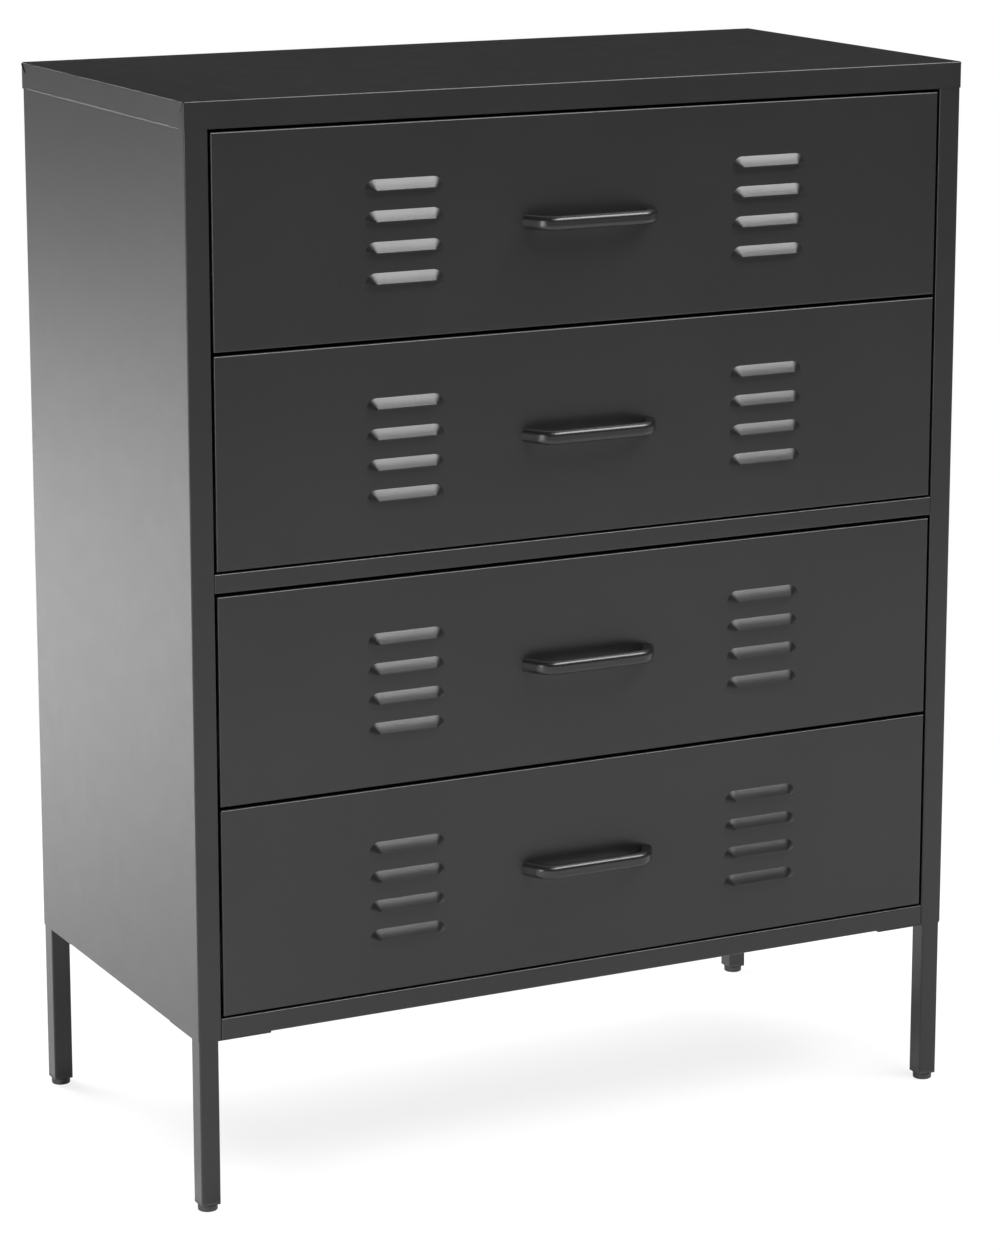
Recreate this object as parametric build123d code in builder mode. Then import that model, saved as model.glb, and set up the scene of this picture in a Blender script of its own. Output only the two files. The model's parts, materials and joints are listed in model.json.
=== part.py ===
from build123d import *
import os

# Steel chest of four drawers on legs. +X is to the right, -Y to the front and +Z up.
# The origin is on the floor, at the middle of the space that the closed chest fills with its handles.
# All lengths are in millimetres.

# Overall size of the cabinet, without the handles
width = 800.0
depth = 400.0
height = 1020.0
body_bottom = 165.0

# Folded sheet steel
sheet = 0.7
bend_radius = 1.5

# Top cover and front frame
skirt_height = 25.0
post_width = 22.5
post_return = 50.0
rail_depth = 18.0
middle_rail_height = 18.0
bottom_rail_height = 19.5
notch_clearance = 0.5

# Drawer fronts and the gaps round them
gap_above_front = 3.0
gap_below_front = 1.8
gap_beside_front = 2.5
front_return = 16.0

# Louvres pressed out of the drawer fronts
louvre_rows = 4
louvre_width = 78.0
louvre_height = 10.5
louvre_projection = 5.0
louvre_lip = 1.1
louvre_pitch = 28.0
louvre_column_spacing = 377.0
louvre_crown_shares = (0.55, 0.51)

# Bow handles
handle_hole_spacing = 128.0
handle_foot_length = 12.0
handle_height = 13.0
handle_projection = 26.0
handle_bar_thickness = 7.0
handle_lean = 14.0
handle_corner_radius = 22.0
handle_edge_share = 0.72
handle_back_edge_radius = 0.8
handle_screw_diameter = 3.5
handle_screw_length = 6.0
handle_thread_runout = 0.4

# Drawer trays
tray_lift = 12.0
tray_top_clearance = 32.0
tray_hem = 9.0
tray_flange_clearance = 0.7

# Telescopic slides, three members on each side of a drawer
slide_space = 12.7
slide_height = 45.0
slide_sheet = 1.2
slide_gap = 0.4
slide_lift = 16.0
slide_front_clearance = 2.0
slide_back_clearance = 27.0
slide_rivet_inset = 18.0

# Legs, their plates, plugs and levelling feet
leg_width = 19.0
leg_wall = 1.5
leg_corner_radius = 1.5
leg_inset = 1.6
plate_size = 71.0
plate_thickness = 1.5
plate_bolt_edge = 13.0
plug_rim = 2.5
plug_depth = 18.0
plug_fit = 0.1
foot_diameter = 18.5
foot_height = 6.0
foot_gap = 0.3
foot_edge_radius = 1.0
stud_diameter = 8.0
stud_length = 24.0
stud_clearance = 0.1

# Fasteners
hole_clearance = 0.2
screw_diameter = 4.0
screw_length = 9.0
screw_head_diameter = 8.0
screw_head_height = 2.4
bolt_diameter = 6.0
bolt_length = 12.0
hex_across_flats = 10.0
hex_height = 4.0
rivet_diameter = 3.2
rivet_head_diameter = 6.5
rivet_head_height = 1.2
cover_screw_columns = 4
back_screw_rows = 4
back_screw_margin = 60.0
base_screw_rows = 3

# Holes in the back panel for fixing the chest to a wall
wall_hole_diameter = 6.0
wall_hole_spacing = 600.0
wall_hole_drop = 60.0

# Length by which a cut runs past the face that it leaves through
overrun = 2.0

# Places from front to back
handle_reach = handle_projection - sheet
cover_front = (handle_reach - depth - screw_head_height) / 2
cover_back = cover_front + depth
front_face = cover_front + sheet
back_face = cover_back - sheet
rear_flange_face = back_face - sheet
middle_y = (cover_front + cover_back) / 2
body_depth = rear_flange_face - front_face
slide_front = front_face + front_return + slide_front_clearance
slide_back = rear_flange_face - slide_back_clearance

# Places from side to side
side_face = width / 2 - sheet
opening_half = side_face - post_width
flange_middle = side_face - post_width / 2
front_half = opening_half - gap_beside_front
tray_half = opening_half - slide_space

# Levels
cover_underside = height - sheet
cover_inner_radius = bend_radius - sheet
panel_top = cover_underside - cover_inner_radius
opening_top = height - skirt_height
opening_bottom = body_bottom + bottom_rail_height
fronts_total = opening_top - opening_bottom - middle_rail_height - 2 * gap_below_front
front_height = fronts_total / 4 - gap_above_front
level_4 = opening_bottom + gap_below_front
level_3 = level_4 + front_height + gap_above_front
middle_rail_bottom = level_3 + front_height + gap_above_front
level_2 = middle_rail_bottom + middle_rail_height + gap_below_front
level_1 = level_2 + front_height + gap_above_front
drawer_levels = (level_1, level_2, level_3, level_4)
tray_height = front_height - tray_lift - tray_top_clearance
slide_middle = tray_lift + slide_lift + slide_height / 2
plate_underside = body_bottom - plate_thickness
plug_bottom = foot_height + foot_gap
tube_bottom = plug_bottom + plug_rim

# Corners of the frame that the four legs stand in
leg_frame_half_x = width / 2 - leg_inset
leg_frame_half_y = depth / 2 - leg_inset
corner_sides = {
    "front_left": (-1, -1),
    "front_right": (1, -1),
    "rear_left": (-1, 1),
    "rear_right": (1, 1),
}

os.makedirs("parts", exist_ok=True)


def save(piece, name):
    """Label a finished piece and write it to its own file."""
    piece.part.label = name
    export_step(piece.part, f"parts/{name}.step")


def corner_point(sides, inset_x, inset_y, level):
    """Point at a level, inset from the outer corner of the leg frame on the named sides."""
    side_x, side_y = sides
    return (
        side_x * (leg_frame_half_x - inset_x),
        middle_y + side_y * (leg_frame_half_y - inset_y),
        level,
    )


def corner_points(inset_x, inset_y, level):
    """The same inset point at all four corners of the leg frame."""
    return [corner_point(sides, inset_x, inset_y, level) for sides in corner_sides.values()]


def spread(first, last, count):
    """Evenly spaced values from first to last."""
    return [first + (last - first) * step / (count - 1) for step in range(count)]


# Fasteners, each made once at the origin with its seat on the XY plane and its shank pointing down
def pan_head_screw(diameter, length):
    """Screw with a rounded head and a shank of a diameter and length."""
    with BuildPart() as screw:
        Cylinder(screw_head_diameter / 2, screw_head_height, align=(Align.CENTER, Align.CENTER, Align.MIN))
        fillet(screw.edges().sort_by(Axis.Z)[-1], screw_head_height / 2)
        Cylinder(diameter / 2, length, align=(Align.CENTER, Align.CENTER, Align.MAX))
    return screw


panel_screw = pan_head_screw(screw_diameter, screw_length)
handle_screw = pan_head_screw(handle_screw_diameter, handle_screw_length)

with BuildPart() as hex_bolt:
    with BuildSketch():
        RegularPolygon(hex_across_flats / 2, 6, major_radius=False)
    extrude(amount=hex_height)
    Cylinder(bolt_diameter / 2, bolt_length, align=(Align.CENTER, Align.CENTER, Align.MAX))

with BuildPart() as hex_nut:
    with BuildSketch():
        RegularPolygon(hex_across_flats / 2, 6, major_radius=False)
        Circle(bolt_diameter / 2 + hole_clearance, mode=Mode.SUBTRACT)
    extrude(amount=hex_height)

with BuildPart() as rivet:
    Cylinder(rivet_head_diameter / 2, rivet_head_height, align=(Align.CENTER, Align.CENTER, Align.MIN))
    fillet(rivet.edges().sort_by(Axis.Z)[-1], rivet_head_height / 2)
    Cylinder(rivet_diameter / 2, sheet + slide_sheet, align=(Align.CENTER, Align.CENTER, Align.MAX))


def fastener_group(fastener, seats):
    """Copies of one fastener, one on each seat plane."""
    with BuildPart() as group:
        with Locations(*seats):
            add(fastener.part)
    return group


def cut_holes(planes, diameter, length):
    """Cut round holes of a diameter through the part being built, to a length both ways from the planes."""
    with BuildSketch(*planes) as holes:
        Circle(diameter / 2)
    extrude(holes.sketch, amount=length, both=True, mode=Mode.SUBTRACT)


# Seats of the screws that hold the cover, the back, the rails and the base
screw_hole_diameter = screw_diameter + 2 * hole_clearance
cover_screw_level = height - skirt_height / 2
cover_screw_xs = spread(-flange_middle, flange_middle, cover_screw_columns)
cover_screw_seats = [
    Plane((x, cover_back, cover_screw_level), z_dir=(0, 1, 0)) for x in cover_screw_xs
]
back_screw_levels = spread(
    body_bottom + back_screw_margin, opening_top - back_screw_margin, back_screw_rows
)
back_screw_seats = [
    Plane((x, back_face, level), z_dir=(0, 1, 0))
    for x in (-flange_middle, flange_middle)
    for level in back_screw_levels
]
rail_screw_levels = (
    (opening_top + panel_top) / 2,
    middle_rail_bottom + middle_rail_height / 2,
    body_bottom + bottom_rail_height / 2,
)
rail_screw_seats = [
    Plane((side * (opening_half - sheet), front_face + rail_depth / 2, level), z_dir=(-side, 0, 0))
    for side in (-1, 1)
    for level in rail_screw_levels
]
flange_front = front_face + post_return
flange_back = rear_flange_face - post_return
flange_length = flange_back - flange_front
base_screw_inset = max(post_return, leg_inset + plate_size) + screw_head_diameter
base_screw_ys = spread(cover_front + base_screw_inset, cover_back - base_screw_inset, base_screw_rows)
base_screw_seats = [
    Plane((x, y, body_bottom), z_dir=(0, 0, -1))
    for x in (-flange_middle, flange_middle)
    for y in base_screw_ys
]
save(fastener_group(panel_screw, cover_screw_seats), "cover_screws")
save(fastener_group(panel_screw, back_screw_seats), "back_panel_screws")
save(fastener_group(panel_screw, rail_screw_seats), "rail_screws")
save(fastener_group(panel_screw, base_screw_seats), "base_screws")

# Seats of the rivets that hold the outer slide members to the posts
rivet_hole_diameter = rivet_diameter + 2 * hole_clearance
slide_rivet_ys = (slide_front + slide_rivet_inset, slide_back - slide_rivet_inset)
outer_rivet_seats = [
    Plane((side * (opening_half + sheet), y, level + slide_middle), z_dir=(side, 0, 0))
    for side in (-1, 1)
    for y in slide_rivet_ys
    for level in drawer_levels
]
save(fastener_group(rivet, outer_rivet_seats), "outer_slide_rivets")

# Top cover: a pan with a skirt on all four sides
with BuildPart() as top_cover:
    with Locations((0, middle_y, height)):
        Box(width, depth, skirt_height, align=(Align.CENTER, Align.CENTER, Align.MAX))
    skirt_corners = top_cover.edges().filter_by(Axis.Z)
    fillet(skirt_corners + top_cover.faces().sort_by(Axis.Z)[-1].edges(), bend_radius)
    offset(amount=-sheet, openings=top_cover.faces().sort_by(Axis.Z)[0])
    cut_holes(cover_screw_seats, screw_hole_diameter, overrun)
save(top_cover, "top_cover")

# Side panel: side sheet, front post and rear flange folded from one sheet, with a flange at each end
with BuildPart() as left_side_panel:
    panel_plane = Plane((-flange_middle, front_face + body_depth / 2, body_bottom))
    with BuildSketch(panel_plane) as section:
        Rectangle(post_width, body_depth)
        fillet(section.vertices(), bend_radius)
        Rectangle(post_width - 2 * sheet, body_depth - 2 * sheet, mode=Mode.SUBTRACT)
        with Locations((post_width / 2, 0)):
            Rectangle(post_width, flange_length, mode=Mode.SUBTRACT)
    extrude(amount=panel_top - body_bottom)
    for flange_bottom in (body_bottom + sheet, panel_top - sheet):
        with BuildSketch(Plane((-flange_middle, front_face + body_depth / 2, flange_bottom))):
            Rectangle(post_width, flange_length)
        extrude(amount=sheet)
    cut_holes(cover_screw_seats, screw_hole_diameter, 2 * sheet + overrun)
    cut_holes(back_screw_seats, screw_hole_diameter, sheet + overrun)
    cut_holes(rail_screw_seats, screw_hole_diameter, sheet + overrun)
    cut_holes(base_screw_seats, screw_hole_diameter, sheet + overrun)
    cut_holes(outer_rivet_seats, rivet_hole_diameter, overrun)
save(left_side_panel, "left_side_panel")

with BuildPart() as right_side_panel:
    mirror(left_side_panel.part, about=Plane.YZ)
save(right_side_panel, "right_side_panel")

# Back panel, inside the cover's rear skirt and against the rear flanges
with BuildPart() as back_panel:
    with Locations((0, back_face, body_bottom)):
        Box(
            2 * (side_face - cover_inner_radius),
            sheet,
            panel_top - body_bottom,
            align=(Align.CENTER, Align.MAX, Align.MIN),
        )
    wall_hole_planes = [
        Plane((side * wall_hole_spacing / 2, back_face, height - wall_hole_drop), z_dir=(0, 1, 0))
        for side in (-1, 1)
    ]
    cut_holes(wall_hole_planes, wall_hole_diameter, overrun)
    cut_holes(cover_screw_seats, screw_hole_diameter, sheet + overrun)
    cut_holes(back_screw_seats, screw_hole_diameter, overrun)
save(back_panel, "back_panel")

# Places of the bolts that hold each leg plate to the base panel, inset from the leg frame's corner
bolt_far = plate_size - plate_bolt_edge
bolt_near = plate_size / 2
bolt_insets = ((bolt_far, bolt_far), (bolt_far, bolt_near), (bolt_near, bolt_far))
bolt_hole_diameter = bolt_diameter + 2 * hole_clearance
bolt_seats = [
    Plane(point, z_dir=(0, 0, -1))
    for inset_x, inset_y in bolt_insets
    for point in corner_points(inset_x, inset_y, plate_underside)
]
nut_seats = [
    Plane(point)
    for inset_x, inset_y in bolt_insets
    for point in corner_points(inset_x, inset_y, body_bottom + sheet)
]
save(fastener_group(hex_bolt, bolt_seats), "leg_bolts")
save(fastener_group(hex_nut, nut_seats), "leg_nuts")

# Base panel: floor of the cabinet, behind the bottom rail and notched round the posts
with BuildPart() as base_panel:
    base_front = front_face + rail_depth
    notch_length = post_return + notch_clearance
    notch_half = opening_half - notch_clearance
    with BuildSketch(Plane.XY.offset(body_bottom)):
        with Locations((0, base_front)):
            Rectangle(
                2 * (side_face - sheet), rear_flange_face - base_front, align=(Align.CENTER, Align.MIN)
            )
        for side, align_x in ((-1, Align.MAX), (1, Align.MIN)):
            with Locations((side * notch_half, front_face)):
                Rectangle(post_width, notch_length, align=(align_x, Align.MIN), mode=Mode.SUBTRACT)
            with Locations((side * notch_half, rear_flange_face)):
                Rectangle(post_width, notch_length, align=(align_x, Align.MAX), mode=Mode.SUBTRACT)
    extrude(amount=sheet)
    cut_holes(bolt_seats, bolt_hole_diameter, plate_thickness + sheet + overrun)
    cut_holes(base_screw_seats, screw_hole_diameter, overrun)
save(base_panel, "base_panel")


def cross_rail(rail_bottom, rail_height):
    """Rail folded to a pan that is open to the rear, with its ends against the posts."""
    with BuildPart() as rail:
        with Locations((0, front_face, rail_bottom)):
            Box(2 * opening_half, rail_depth, rail_height, align=(Align.CENTER, Align.MIN, Align.MIN))
        fillet(rail.faces().sort_by(Axis.Y)[0].edges(), bend_radius)
        offset(amount=-sheet, openings=rail.faces().sort_by(Axis.Y)[-1])
        cut_holes(rail_screw_seats, screw_hole_diameter, overrun)
    return rail


save(cross_rail(opening_top, panel_top - opening_top), "top_rail")
save(cross_rail(middle_rail_bottom, middle_rail_height), "middle_rail")
save(cross_rail(body_bottom, bottom_rail_height), "bottom_rail")

# Plates welded to the tops of the legs
with BuildPart() as leg_plates:
    for point in corner_points(plate_size / 2, plate_size / 2, plate_underside):
        with BuildSketch(Plane(point)):
            Rectangle(plate_size, plate_size)
        extrude(amount=plate_thickness)
    cut_holes(bolt_seats, bolt_hole_diameter, plate_thickness + overrun)
save(leg_plates, "leg_plates")

# Legs of square tube, and the levelling foot under each
for corner, sides in corner_sides.items():
    with BuildPart() as leg:
        with BuildSketch(Plane(corner_point(sides, leg_width / 2, leg_width / 2, tube_bottom))):
            RectangleRounded(leg_width, leg_width, leg_corner_radius)
            Rectangle(leg_width - 2 * leg_wall, leg_width - 2 * leg_wall, mode=Mode.SUBTRACT)
        extrude(amount=plate_underside - tube_bottom)
    save(leg, f"{corner}_leg")

    with BuildPart(Plane(corner_point(sides, leg_width / 2, leg_width / 2, 0))) as foot:
        Cylinder(foot_diameter / 2, foot_height, align=(Align.CENTER, Align.CENTER, Align.MIN))
        fillet(foot.edges().filter_by(GeomType.CIRCLE), foot_edge_radius)
        with Locations((0, 0, foot_height)):
            Cylinder(stud_diameter / 2, stud_length, align=(Align.CENTER, Align.CENTER, Align.MIN))
    save(foot, f"{corner}_foot")

# Plugs in the lower ends of the legs, bored for the studs of the feet
with BuildPart() as leg_end_plugs:
    plug_side = leg_width - 2 * leg_wall - 2 * plug_fit
    plug_planes = [Plane(point) for point in corner_points(leg_width / 2, leg_width / 2, plug_bottom)]
    with BuildSketch(*plug_planes):
        RectangleRounded(leg_width, leg_width, leg_corner_radius)
    extrude(amount=plug_rim)
    with BuildSketch(*plug_planes):
        Rectangle(plug_side, plug_side)
    extrude(amount=plug_rim + plug_depth)
    cut_holes(plug_planes, stud_diameter + 2 * stud_clearance, plug_rim + plug_depth + overrun)
save(leg_end_plugs, "leg_end_plugs")


def louvre_hood(margin):
    """Hood of a louvre, drawn in by a margin, on the XZ plane with its lower edge on the X axis."""
    reach = louvre_projection - margin
    top = louvre_height - margin
    reach_share, rise_share = louvre_crown_shares
    crown = (-reach * reach_share, louvre_lip + rise_share * (top - louvre_lip))
    straight_half = louvre_width / 2 - louvre_height
    with BuildSketch(Plane.YZ) as profile:
        with BuildLine():
            Polyline((0, top), (0, 0), (-reach, 0), (-reach, louvre_lip))
            ThreePointArc((-reach, louvre_lip), crown, (0, top))
        make_face()
    with BuildPart() as hood:
        extrude(profile.sketch, amount=straight_half, both=True)
        for side in (-1, 1):
            end_profile = profile.sketch.moved(Location((side * straight_half, 0, 0)))
            end_axis = Axis((side * straight_half, 0, 0), (0, side, 0))
            revolve(end_profile, axis=end_axis, revolution_arc=90)
    return hood


# Louvre: the outer hood less the space inside it, which goes on through the sheet as a slot
outer_hood = louvre_hood(0)
with BuildPart() as louvre_space:
    add(louvre_hood(sheet).part)
    extrude(louvre_space.faces().sort_by(Axis.Y)[-1], amount=sheet + overrun)

# Drawer front: a pan open to the rear, made once with its lower edge at level 0
louvre_block = (louvre_rows - 1) * louvre_pitch + louvre_height
louvre_columns = (-louvre_column_spacing / 2, louvre_column_spacing / 2)
louvre_levels = spread(
    (front_height - louvre_block) / 2, (front_height + louvre_block) / 2 - louvre_height, louvre_rows
)
louvre_points = [(x, front_face, level) for x in louvre_columns for level in louvre_levels]
handle_hole_diameter = handle_screw_diameter + 2 * hole_clearance
handle_xs = (-handle_hole_spacing / 2, handle_hole_spacing / 2)
handle_screw_seats = [
    Plane((x, front_face + sheet, front_height / 2), z_dir=(0, 1, 0)) for x in handle_xs
]
with BuildPart() as front:
    with Locations((0, front_face, 0)):
        Box(2 * front_half, front_return, front_height, align=(Align.CENTER, Align.MIN, Align.MIN))
    fillet(front.faces().sort_by(Axis.Y)[0].edges(), bend_radius)
    offset(amount=-sheet, openings=front.faces().sort_by(Axis.Y)[-1])
    with Locations(*louvre_points):
        add(outer_hood.part)
        add(louvre_space.part, mode=Mode.SUBTRACT)
    cut_holes(handle_screw_seats, handle_hole_diameter, overrun)

# Bow handle with leaning ends, made once for the same drawer
foot_outer = (handle_hole_spacing + handle_foot_length) / 2
foot_inner = (handle_hole_spacing - handle_foot_length) / 2
finger_depth = handle_projection - handle_bar_thickness
inner_lean = handle_lean * finger_depth / handle_projection
handle_bottom = (front_height - handle_height) / 2
with BuildPart() as handle:
    handle_plane = Plane((0, front_face, handle_bottom))
    with BuildSketch(handle_plane):
        with BuildLine():
            outer_line = FilletPolyline(
                (-foot_outer, 0),
                (-foot_outer + handle_lean, -handle_projection),
                (foot_outer - handle_lean, -handle_projection),
                (foot_outer, 0),
                radius=handle_corner_radius,
            )
            Line(outer_line @ 0, outer_line @ 1)
        make_face()
    extrude(amount=handle_height)
    handle_edge_radius = handle_edge_share * min(handle_bar_thickness, handle_height / 2)
    for handle_side in (0, -1):
        fillet(handle.edges().group_by(Axis.Z)[handle_side].sort_by(Axis.Y)[:-1], handle_edge_radius)
    with BuildSketch(handle_plane):
        with BuildLine():
            inner_line = FilletPolyline(
                (-foot_inner, 0),
                (-foot_inner + inner_lean, -finger_depth),
                (foot_inner - inner_lean, -finger_depth),
                (foot_inner, 0),
                radius=handle_corner_radius - handle_bar_thickness,
            )
            Line(inner_line @ 0, inner_line @ 1)
        make_face()
    extrude(amount=handle_height, mode=Mode.SUBTRACT)
    fillet(handle.edges().filter_by(Axis.X).group_by(Axis.Y)[-2], handle_back_edge_radius)
    thread_planes = [Plane((x, front_face, front_height / 2), z_dir=(0, 1, 0)) for x in handle_xs]
    thread_depth = handle_screw_length - sheet + handle_thread_runout
    cut_holes(thread_planes, handle_hole_diameter, thread_depth)

# Drawer tray: bottom, sides and back with hems along their tops, and flanges against the drawer front
tray_front = front_face + sheet
tray_depth = slide_back - tray_front
tray_side_flange = slide_space - gap_beside_front - bend_radius - tray_flange_clearance
tray_bottom_flange = tray_lift - bend_radius - tray_flange_clearance
inner_rivet_seats = [
    Plane((side * (tray_half - sheet), y, slide_middle), z_dir=(-side, 0, 0))
    for side in (-1, 1)
    for y in slide_rivet_ys
]
with BuildPart() as tray:
    with Locations((0, tray_front, tray_lift)):
        Box(2 * tray_half, tray_depth, tray_height, align=(Align.CENTER, Align.MIN, Align.MIN))
    fillet(tray.faces().sort_by(Axis.Z)[0].edges().filter_by(Axis.Y), bend_radius)
    for wall, inside_height in ((sheet, tray_height - sheet - tray_hem), (2 * sheet, tray_height)):
        with Locations((0, tray_front - overrun, tray_lift + sheet)):
            Box(
                2 * (tray_half - wall),
                overrun + tray_depth - wall,
                inside_height,
                align=(Align.CENTER, Align.MIN, Align.MIN),
                mode=Mode.SUBTRACT,
            )
    with BuildSketch(Plane.XZ.offset(-tray_front)):
        with Locations((0, tray_lift + sheet)):
            Rectangle(
                2 * (tray_half - bend_radius), sheet + tray_bottom_flange, align=(Align.CENTER, Align.MAX)
            )
        with Locations((0, tray_lift + bend_radius)):
            flange_height = tray_height - bend_radius - tray_hem
            for flange_half, flange_mode in (
                (tray_half + tray_side_flange, Mode.ADD),
                (tray_half - sheet, Mode.SUBTRACT),
            ):
                Rectangle(2 * flange_half, flange_height, align=(Align.CENTER, Align.MIN), mode=flange_mode)
    extrude(amount=-sheet)
    cut_holes(inner_rivet_seats, rivet_hole_diameter, sheet + overrun)


def slide_members(web_x, open_x, member_height):
    """Pair of channels, with their webs at one distance from the middle and their open sides at another."""
    inward = web_x > open_x
    with BuildPart() as members:
        for side in (-1, 1):
            cut_shift = -side * slide_sheet if inward else side * slide_sheet
            front_end = (side * (web_x + open_x) / 2, slide_front, slide_middle)
            with BuildSketch(Plane(front_end, x_dir=(1, 0, 0), z_dir=(0, -1, 0))):
                Rectangle(abs(web_x - open_x), member_height)
                with Locations((cut_shift, 0)):
                    Rectangle(
                        abs(web_x - open_x), member_height - 2 * slide_sheet, mode=Mode.SUBTRACT
                    )
            extrude(amount=slide_front - slide_back)
    return members


# Slide members, nested with a running gap: outer on the posts, inner on the trays, middle between them
middle_member_height = slide_height - 2 * slide_sheet - 2 * slide_gap
inner_member_height = middle_member_height - 2 * slide_sheet - 2 * slide_gap
middle_web = opening_half - slide_sheet - slide_gap
middle_open = tray_half + slide_sheet + slide_gap
inner_open = middle_web - slide_sheet - slide_gap
outer_open = middle_open + slide_sheet
outer_slides = slide_members(opening_half, outer_open, slide_height)
middle_slides = slide_members(middle_web, middle_open, middle_member_height)
inner_slides = slide_members(tray_half, inner_open, inner_member_height)
with BuildPart() as drilled_outer_slides:
    add(outer_slides.part)
    outer_hole_planes = [
        Plane((side * opening_half, y, slide_middle), z_dir=(side, 0, 0))
        for side in (-1, 1)
        for y in slide_rivet_ys
    ]
    cut_holes(outer_hole_planes, rivet_hole_diameter, slide_sheet + overrun)
with BuildPart() as drilled_inner_slides:
    add(inner_slides.part)
    cut_holes(inner_rivet_seats, rivet_hole_diameter, sheet + slide_sheet + overrun)

# Each drawer's pieces, set at the level of its front's lower edge
drawer_pieces = {
    "front": front,
    "tray": tray,
    "handle": handle,
    "handle_screws": fastener_group(handle_screw, handle_screw_seats),
    "outer_slides": drilled_outer_slides,
    "middle_slides": middle_slides,
    "inner_slides": drilled_inner_slides,
    "inner_slide_rivets": fastener_group(rivet, inner_rivet_seats),
}
for number, level in enumerate(drawer_levels, start=1):
    for name, piece in drawer_pieces.items():
        with BuildPart(Plane.XY.offset(level)) as placed:
            add(piece.part)
        save(placed, f"drawer_{number}_{name}")
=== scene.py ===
"""Looks of a black steel chest of four louvred drawers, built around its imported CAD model.

The frame is in metres: +X to the right, -Y to the front and +Z up, with the floor at zero.
"""

import json
import math

import bpy
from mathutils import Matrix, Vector


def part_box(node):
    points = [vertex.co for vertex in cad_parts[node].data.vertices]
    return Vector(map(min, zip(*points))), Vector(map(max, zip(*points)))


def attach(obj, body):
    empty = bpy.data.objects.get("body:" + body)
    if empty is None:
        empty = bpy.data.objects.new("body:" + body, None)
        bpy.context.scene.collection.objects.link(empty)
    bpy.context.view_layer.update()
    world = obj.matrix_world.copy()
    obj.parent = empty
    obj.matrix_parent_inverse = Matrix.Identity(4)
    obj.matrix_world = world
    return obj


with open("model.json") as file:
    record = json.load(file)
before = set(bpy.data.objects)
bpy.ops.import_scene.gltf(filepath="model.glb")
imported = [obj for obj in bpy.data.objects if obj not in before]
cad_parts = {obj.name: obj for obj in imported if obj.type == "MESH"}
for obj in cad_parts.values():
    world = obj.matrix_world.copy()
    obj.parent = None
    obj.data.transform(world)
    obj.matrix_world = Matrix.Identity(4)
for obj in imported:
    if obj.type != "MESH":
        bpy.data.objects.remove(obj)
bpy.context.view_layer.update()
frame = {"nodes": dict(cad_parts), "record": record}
nodes = frame["nodes"]
scene = bpy.context.scene

# The photograph's frame in pixels, and the camera that was fitted to the chest's corners in it
PHOTO_WIDTH = 1000
PHOTO_HEIGHT = 1250
CAMERA_FOCAL_PIXELS = 3994.4
CAMERA_PLACE = (-1.7179, -3.3842, 1.3872)
CAMERA_TURN = math.radians(26.952)
CAMERA_DIP = math.radians(12.13)
CAMERA_SHIFT_Y = -0.08

# Floor: white to the camera far from the chest, and lit and shaded close to it
FLOOR_REACH = 60.0
FLOOR_COLOUR = (0.93, 0.93, 0.93, 1.0)
FLOOR_SHADE_SHARE = 0.16
FLOOR_REFLECTED_SHARE = 0.2
SHADE_INNER_RADIUS = 0.5
SHADE_OUTER_RADIUS = 1.5

# World: white to the camera, a low white band in reflections, and a dim studio for the rest
STUDIO_FILL = (0.10, 0.10, 0.102, 1.0)
WHITE = (1.0, 1.0, 1.0, 1.0)
REFLECTED_STUDIO = (0.02, 0.02, 0.021, 1.0)
BAND_LOW_SHARE = 0.0
BAND_HIGH_SHARE = 0.06

# Powder coats: slot, dark and light tone, least and greatest roughness, and scale and height of the orange
# peel
POWDER_COATS = (
    ("cabinet_paint", 0.007, 0.009, 0.27, 0.35, 700.0, 0.0002),
    ("front_paint", 0.007, 0.009, 0.27, 0.35, 700.0, 0.0002),
    ("tray_paint", 0.010, 0.014, 0.32, 0.42, 650.0, 0.0003),
    ("leg_paint", 0.007, 0.009, 0.28, 0.36, 700.0, 0.0002),
    ("handle_paint", 0.008, 0.011, 0.22, 0.29, 1100.0, 0.0001),
    ("black_fastener", 0.010, 0.020, 0.30, 0.48, 1500.0, 0.0002),
    # recess_shade is painted shade: a coat darker than the screws' own, standing in for the shade inside
    # their cross recesses
    ("recess_shade", 0.003, 0.005, 0.50, 0.65, 1500.0, 0.0001),
)
COAT_BLUE = 1.04
COAT_IOR = 1.45
CLOUD_SCALE = 6.0
CLOUD_DETAIL = 4.0
CLOUD_LOW_SHARE = 0.3
CLOUD_HIGH_SHARE = 0.7
GLOSS_SCALE = 38.0
GLOSS_DETAIL = 5.0
GLOSS_NOISE_ROUGHNESS = 0.6
PEEL_DETAIL = 2.0
PEEL_STRENGTH = 0.35
FINE_PEEL_FACTOR = 3.7
FINE_PEEL_DETAIL = 1.0

# Zinc-plated steel: rolling lines along the slides, and the spangle's scale and tones
STEEL_LINE_SCALE = 60.0
STEEL_LINE_DETAIL = 6.0
STEEL_LINE_STRETCH = (14.0, 0.35, 14.0)
STEEL_LINE_STRENGTH = 0.25
STEEL_LINE_HEIGHT = 0.0002
STEEL_SMOOTH = 0.24
STEEL_ROUGH = 0.46
SPANGLE_SCALE = 90.0
SPANGLE_DETAIL = 3.0
SPANGLE_LOW_SHARE = 0.25
SPANGLE_HIGH_SHARE = 0.75
STEEL_DARK = (0.50, 0.51, 0.52, 1.0)
STEEL_LIGHT = (0.66, 0.67, 0.68, 1.0)

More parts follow.
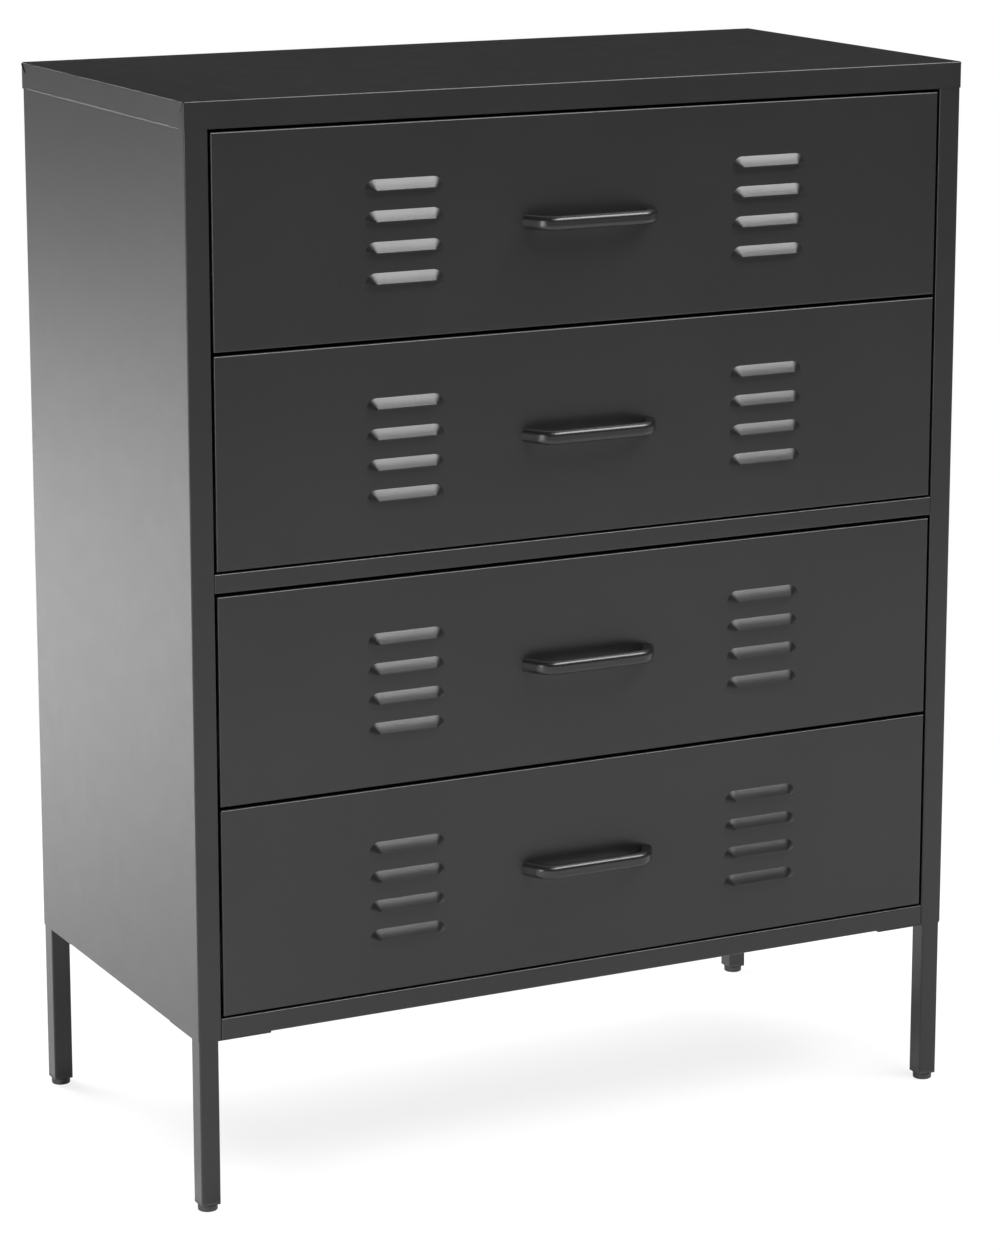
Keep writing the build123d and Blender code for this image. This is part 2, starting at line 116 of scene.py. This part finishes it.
# Moulded plastic: its slots, grain, tones and roughness
PLASTIC_SLOTS = ("plug_plastic", "foot_plastic")
PLASTIC_GRAIN_SCALE = 1400.0
PLASTIC_GRAIN_DETAIL = 2.0
PLASTIC_GRAIN_STRENGTH = 0.3
PLASTIC_GRAIN_HEIGHT = 0.0002
PLASTIC_CLOUD_SCALE = 45.0
PLASTIC_DARK = 0.016
PLASTIC_LIGHT = 0.026
PLASTIC_SMOOTH = 0.42
PLASTIC_ROUGH = 0.62

# Number of drawers
DRAWER_COUNT = 4

# Cross recess in a screw head: its arms, the depth of its walls in the head, the height of its rim over the
# head, and how its floor tapers and lies below the rim
# The cross stands just proud of the head, and its near-black finish is painted shade in place of a deep
# recess
RECESS_ARM = 0.0024
RECESS_HALF_WIDTH = 0.0005
RECESS_DEPTH = 0.0003
RECESS_RIM = 0.00012
RECESS_TAPER_SHARE = 0.55
RECESS_FLOOR_SHARE = 0.25
HEAD_FACE_TOLERANCE = 0.00002
HEAD_SPACING = 0.02

# Beads of the cover: the mitred seams where its skirts meet, and the rolled lower edges of its sides
SEAM_RADIUS = 0.0008
SEAM_START = 0.0012
SEAM_LENGTH = 0.009
EDGE_RADIUS = 0.0009
EDGE_OUTWARD_SHARE = 0.5
EDGE_END_GAP = 0.0015
BEAD_STEPS = 24
BEAD_SIDES = 12
BEAD_TAPER_POWER = 0.06

# Lamps: name, place, point aimed at, width, height, power in watts, and whether surfaces mirror the lamp
LAMPS = (
    ("overhead_softbox", (1.3, -1.9, 3.3), (0.0, 0.0, 0.7), 3.0, 1.5, 215.0, True),
    ("rear_left_softbox", (-1.5, 2.9, 3.0), (-1.3, 2.1, 0.0), 2.2, 2.2, 360.0, False),
    ("rear_left_strip", (-1.5, 2.9, 2.4), (-0.4, 0.0, 1.0), 0.3, 0.9, 20.0, True),
    ("left_strip", (-3.2, -1.5, 0.75), (-0.3, -0.2, 0.6), 0.8, 1.5, 50.0, True),
)


class Shader:
    """Small helper that adds nodes to a material or world and joins them."""

    def __init__(self, owner):
        owner.use_nodes = True
        self.tree = owner.node_tree
        self.tree.nodes.clear()

    def add(self, kind, inputs=None, **settings):
        """Add a node, set its properties, and set or link its inputs."""
        node = self.tree.nodes.new(kind)
        for name, value in settings.items():
            setattr(node, name, value)
        for name, value in (inputs or {}).items():
            socket = node.inputs[name]
            if isinstance(value, bpy.types.NodeSocket):
                self.tree.links.new(value, socket)
            else:
                socket.default_value = value
        return node

    def ramp(self, value, low, high, low_colour, high_colour):
        """Colour that runs from one tone to another as a value goes from low to high."""
        node = self.add("ShaderNodeValToRGB", {"Fac": value})
        node.color_ramp.elements[0].position = low
        node.color_ramp.elements[0].color = low_colour
        node.color_ramp.elements[1].position = high
        node.color_ramp.elements[1].color = high_colour
        return node.outputs["Color"]

    def spread(self, value, low, high):
        """Number from low to high as a noise value goes from 0 to 1."""
        node = self.add("ShaderNodeMapRange", {"Value": value, "To Min": low, "To Max": high})
        return node.outputs["Result"]

    def noise(self, scale, detail, stretch=None, roughness=0.5):
        """Noise in the object's own metres, stretched by a scale on each axis where one is given."""
        place = self.add("ShaderNodeTexCoord").outputs["Object"]
        if stretch:
            place = self.add("ShaderNodeMapping", {"Vector": place, "Scale": stretch}).outputs["Vector"]
        inputs = {"Vector": place, "Scale": scale, "Detail": detail, "Roughness": roughness}
        return self.add("ShaderNodeTexNoise", inputs).outputs["Fac"]

    def finish(self, shader, kind="ShaderNodeOutputMaterial"):
        """Join a shader to the output."""
        self.add(kind, {"Surface": shader})


def grey(value, blue=1.0):
    """Opaque grey, with its blue raised by a factor."""
    return (value, value, value * blue, 1.0)


def powder_coat(name, dark, light, smooth, rough, peel_scale, peel_height):
    """Satin powder coat: faint cloudy tone, uneven gloss and the fine orange peel of cured powder."""
    material = bpy.data.materials.new(name)
    shader = Shader(material)
    clouds = shader.noise(CLOUD_SCALE, CLOUD_DETAIL)
    peel = shader.noise(peel_scale, PEEL_DETAIL)
    fine_peel = shader.noise(peel_scale * FINE_PEEL_FACTOR, FINE_PEEL_DETAIL)
    tones = (grey(dark, COAT_BLUE), grey(light, COAT_BLUE))
    colour = shader.ramp(clouds, CLOUD_LOW_SHARE, CLOUD_HIGH_SHARE, *tones)
    patches = shader.noise(GLOSS_SCALE, GLOSS_DETAIL, roughness=GLOSS_NOISE_ROUGHNESS)
    gloss = shader.spread(patches, smooth, rough)
    texture = shader.add("ShaderNodeMath", {0: peel, 1: fine_peel}, operation="ADD").outputs["Value"]
    bump = shader.add(
        "ShaderNodeBump", {"Height": texture, "Strength": PEEL_STRENGTH, "Distance": peel_height}
    )
    surface = shader.add(
        "ShaderNodeBsdfPrincipled",
        {"Base Color": colour, "Roughness": gloss, "Normal": bump.outputs["Normal"], "IOR": COAT_IOR},
    )
    shader.finish(surface.outputs["BSDF"])
    return material


def plated_steel(name):
    """Zinc-plated rolled steel: bright metal with rolling lines along its length and a faint spangle."""
    material = bpy.data.materials.new(name)
    shader = Shader(material)
    lines = shader.noise(STEEL_LINE_SCALE, STEEL_LINE_DETAIL, stretch=STEEL_LINE_STRETCH)
    spangle = shader.noise(SPANGLE_SCALE, SPANGLE_DETAIL)
    colour = shader.ramp(spangle, SPANGLE_LOW_SHARE, SPANGLE_HIGH_SHARE, STEEL_DARK, STEEL_LIGHT)
    gloss = shader.spread(lines, STEEL_SMOOTH, STEEL_ROUGH)
    bump = shader.add(
        "ShaderNodeBump",
        {"Height": lines, "Strength": STEEL_LINE_STRENGTH, "Distance": STEEL_LINE_HEIGHT},
    )
    surface = shader.add(
        "ShaderNodeBsdfPrincipled",
        {"Base Color": colour, "Roughness": gloss, "Normal": bump.outputs["Normal"], "Metallic": 1.0},
    )
    shader.finish(surface.outputs["BSDF"])
    return material


def moulded_plastic(name):
    """Matt black plastic with a fine spark-eroded grain."""
    material = bpy.data.materials.new(name)
    shader = Shader(material)
    grain = shader.noise(PLASTIC_GRAIN_SCALE, PLASTIC_GRAIN_DETAIL)
    clouds = shader.noise(PLASTIC_CLOUD_SCALE, CLOUD_DETAIL)
    tones = (grey(PLASTIC_DARK), grey(PLASTIC_LIGHT))
    colour = shader.ramp(clouds, CLOUD_LOW_SHARE, CLOUD_HIGH_SHARE, *tones)
    gloss = shader.spread(grain, PLASTIC_SMOOTH, PLASTIC_ROUGH)
    bump = shader.add(
        "ShaderNodeBump",
        {"Height": grain, "Strength": PLASTIC_GRAIN_STRENGTH, "Distance": PLASTIC_GRAIN_HEIGHT},
    )
    surface = shader.add(
        "ShaderNodeBsdfPrincipled",
        {"Base Color": colour, "Roughness": gloss, "Normal": bump.outputs["Normal"]},
    )
    shader.finish(surface.outputs["BSDF"])
    return material


materials = {coat[0]: powder_coat(*coat) for coat in POWDER_COATS}
materials["slide_steel"] = plated_steel("slide_steel")
for plastic_slot in PLASTIC_SLOTS:
    materials[plastic_slot] = moulded_plastic(plastic_slot)
for subpart in frame["record"]["subparts"]:
    node = nodes[subpart["node"]]
    node.data.materials.clear()
    node.data.materials.append(materials[subpart["material_slot"]])


def new_piece(name, points, faces, material, body):
    """Piece of the visual model that wears a material slot's finish and rides a body."""
    mesh = bpy.data.meshes.new(name)
    mesh.from_pydata(points, [], faces)
    mesh.validate()
    mesh.materials.append(material)
    piece = bpy.data.objects.new(name, mesh)
    scene.collection.objects.link(piece)
    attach(piece, body)
    return piece


def head_centres(node):
    """Middle of each screw head's flat face, for screws that are driven in from behind."""
    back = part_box(node)[1].y
    groups = {}
    for vertex in nodes[node].data.vertices:
        if back - vertex.co.y < HEAD_FACE_TOLERANCE:
            key = (round(vertex.co.x / HEAD_SPACING), round(vertex.co.z / HEAD_SPACING))
            groups.setdefault(key, []).append(vertex.co)
    return [sum(points, points[0] * 0) / len(points) for points in groups.values()]


def cross_outline(arm, half):
    """Corners of a cross, in order round it."""
    corner = [(arm, -half), (arm, half), (half, half)]
    quarters = []
    for turn in range(4):
        angle = turn * math.pi / 2
        cosine = math.cos(angle)
        sine = math.sin(angle)
        quarters += [(x * cosine - z * sine, x * sine + z * cosine) for x, z in corner]
    return quarters


def make_drive_recess(node, body):
    """Cross recesses in the heads of a node's screws: a thin rim and a floor that tapers inwards, in the
    near-black recess_shade finish, which is painted shade for the depth of the recess.
    """
    floor_arm = RECESS_ARM * RECESS_TAPER_SHARE
    floor_half_width = RECESS_HALF_WIDTH * RECESS_TAPER_SHARE
    rings = (
        (RECESS_ARM, RECESS_HALF_WIDTH, -RECESS_DEPTH),
        (RECESS_ARM, RECESS_HALF_WIDTH, RECESS_RIM),
        (floor_arm, floor_half_width, RECESS_RIM * RECESS_FLOOR_SHARE),
    )
    count = len(cross_outline(RECESS_ARM, RECESS_HALF_WIDTH))
    points = []
    faces = []
    for centre in head_centres(node):
        first = len(points)
        for arm, half, rise in rings:
            points += [(centre.x + x, centre.y + rise, centre.z + z) for x, z in cross_outline(arm, half)]
        for ring in range(len(rings) - 1):
            low = first + ring * count
            for k in range(count):
                after = (k + 1) % count
                faces.append((low + k, low + count + k, low + count + after, low + after))
        faces.append([first + (len(rings) - 1) * count + k for k in range(count)])
    piece = new_piece(node + "_drive_recess", points, faces, materials["recess_shade"], body)


def add_bead(points, faces, start, end, radius):
    """Round bead from start to end, narrowed at both ends."""
    along = (end - start).normalized()
    side = along.orthogonal().normalized()
    other = along.cross(side)
    first = len(points)
    for step in range(BEAD_STEPS + 1):
        share = step / BEAD_STEPS
        swell = radius * max(math.sin(math.pi * share), 0.0) ** BEAD_TAPER_POWER
        for k in range(BEAD_SIDES):
            angle = 2 * math.pi * k / BEAD_SIDES
            place = start.lerp(end, share) + (side * math.cos(angle) + other * math.sin(angle)) * swell
            points.append(tuple(place))
    for step in range(BEAD_STEPS):
        low = first + step * BEAD_SIDES
        for k in range(BEAD_SIDES):
            after = (k + 1) % BEAD_SIDES
            faces.append((low + k, low + after, low + BEAD_SIDES + after, low + BEAD_SIDES + k))


def make_cover_beads():
    """Fine mitred seams at the corners of the cover, and the rolled lower edges of its side skirts."""
    low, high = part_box("top_cover")
    seams = ([], [])
    edges = ([], [])
    for x, outward in ((low.x, -1), (high.x, 1)):
        for y, inward in ((low.y, 1), (high.y, -1)):
            start = Vector((x, y + inward * SEAM_START, high.z - SEAM_START))
            end = start + Vector((0, inward * SEAM_LENGTH, -SEAM_LENGTH))
            add_bead(*seams, start, end, SEAM_RADIUS)
        edge_x = x - outward * EDGE_RADIUS * (1 - EDGE_OUTWARD_SHARE)
        start = Vector((edge_x, low.y + EDGE_END_GAP, low.z + EDGE_RADIUS))
        end = Vector((edge_x, high.y - EDGE_END_GAP, low.z + EDGE_RADIUS))
        add_bead(*edges, start, end, EDGE_RADIUS)
    for name, (points, faces) in (("cover_corner_seams", seams), ("cover_rolled_edges", edges)):
        piece = new_piece(name, points, faces, materials["cabinet_paint"], "cabinet")
        piece.data.shade_smooth()


for node in ("cover_screws", "back_panel_screws"):
    make_drive_recess(node, "cabinet")
for number in range(1, DRAWER_COUNT + 1):
    make_drive_recess(f"drawer_{number}_handle_screws", f"drawer_{number}")
make_cover_beads()


def seen_or_reflected(shader):
    """Two outputs: 1 for rays from the camera, and 1 for rays that a glossy or clear surface sends on."""
    path = shader.add("ShaderNodeLightPath").outputs
    mirrored = shader.add(
        "ShaderNodeMath", {0: path["Is Glossy Ray"], 1: path["Is Transmission Ray"]}, operation="MAXIMUM"
    )
    return path["Is Camera Ray"], mirrored.outputs["Value"]


def make_floor():
    """Wide pale floor that turns to plain white for the camera away from the chest."""
    mesh = bpy.data.meshes.new("studio_floor")
    corners = [(x, y, 0.0) for x, y in ((-1, -1), (1, -1), (1, 1), (-1, 1))]
    mesh.from_pydata([(x * FLOOR_REACH, y * FLOOR_REACH, z) for x, y, z in corners], [], [(0, 1, 2, 3)])
    floor = bpy.data.objects.new("studio_floor", mesh)
    scene.collection.objects.link(floor)
    material = bpy.data.materials.new("studio_floor")
    shader = Shader(material)
    camera_ray, mirrored_ray = seen_or_reflected(shader)
    place = shader.add("ShaderNodeTexCoord").outputs["Object"]
    radius = shader.add("ShaderNodeVectorMath", {0: place}, operation="LENGTH").outputs["Value"]
    whiteness = shader.add(
        "ShaderNodeMapRange",
        {
            "Value": radius,
            "From Min": SHADE_INNER_RADIUS,
            "From Max": SHADE_OUTER_RADIUS,
            "To Min": 1.0 - FLOOR_SHADE_SHARE,
            "To Max": 1.0,
        },
        interpolation_type="SMOOTHSTEP",
    ).outputs["Result"]
    seen = shader.add("ShaderNodeMath", {0: camera_ray, 1: whiteness}, operation="MULTIPLY").outputs["Value"]
    mirrored = {0: mirrored_ray, 1: FLOOR_REFLECTED_SHARE}
    reflected = shader.add("ShaderNodeMath", mirrored, operation="MULTIPLY").outputs["Value"]
    share = shader.add("ShaderNodeMath", {0: seen, 1: reflected}, operation="MAXIMUM")
    lit = shader.add("ShaderNodeBsdfDiffuse", {"Color": FLOOR_COLOUR}).outputs["BSDF"]
    white = shader.add("ShaderNodeEmission", {"Color": WHITE}).outputs["Emission"]
    surface = shader.add("ShaderNodeMixShader", {0: share.outputs["Value"], 1: lit, 2: white})
    shader.finish(surface.outputs["Shader"])
    mesh.materials.append(material)


def make_world():
    """White to the camera, a white band along the horizon in reflections, and dim fill for the rest."""
    world = bpy.data.worlds.new("studio")
    scene.world = world
    shader = Shader(world)
    camera_ray, mirrored_ray = seen_or_reflected(shader)
    direction = shader.add("ShaderNodeTexCoord").outputs["Generated"]
    upward = shader.add("ShaderNodeSeparateXYZ", {"Vector": direction}).outputs["Z"]
    band = shader.ramp(upward, BAND_LOW_SHARE, BAND_HIGH_SHARE, WHITE, REFLECTED_STUDIO)
    fill = shader.add("ShaderNodeMix", {0: mirrored_ray, 6: STUDIO_FILL, 7: band}, data_type="RGBA")
    colour = shader.add("ShaderNodeMix", {0: camera_ray, 6: fill.outputs[2], 7: WHITE}, data_type="RGBA")
    background = shader.add("ShaderNodeBackground", {"Color": colour.outputs[2]})
    shader.finish(background.outputs["Background"], "ShaderNodeOutputWorld")


def aim(thing, target):
    """Turn a lamp so that it shines at a point."""
    direction = thing.location - Vector(target)
    thing.rotation_euler = direction.to_track_quat("Z", "Y").to_euler()


def make_lamps():
    """Soft area lamps of the studio."""
    for name, place, target, width, height, power, mirrored in LAMPS:
        data = bpy.data.lights.new(name, "AREA")
        data.shape = "RECTANGLE"
        data.size = width
        data.size_y = height
        data.energy = power
        lamp = bpy.data.objects.new(name, data)
        scene.collection.objects.link(lamp)
        lamp.location = place
        lamp.visible_glossy = mirrored
        aim(lamp, target)


def make_camera():
    """Camera at the photograph's place, with its lens worked out from the focal length in pixels."""
    data = bpy.data.cameras.new("photo_camera")
    data.lens = CAMERA_FOCAL_PIXELS * data.sensor_width / max(PHOTO_WIDTH, PHOTO_HEIGHT)
    data.shift_y = CAMERA_SHIFT_Y
    camera = bpy.data.objects.new("photo_camera", data)
    scene.collection.objects.link(camera)
    camera.location = CAMERA_PLACE
    camera.rotation_euler = (math.pi / 2 - CAMERA_DIP, 0, -CAMERA_TURN)
    scene.camera = camera


make_floor()
make_world()
make_lamps()
make_camera()
scene.view_settings.view_transform = "Standard"
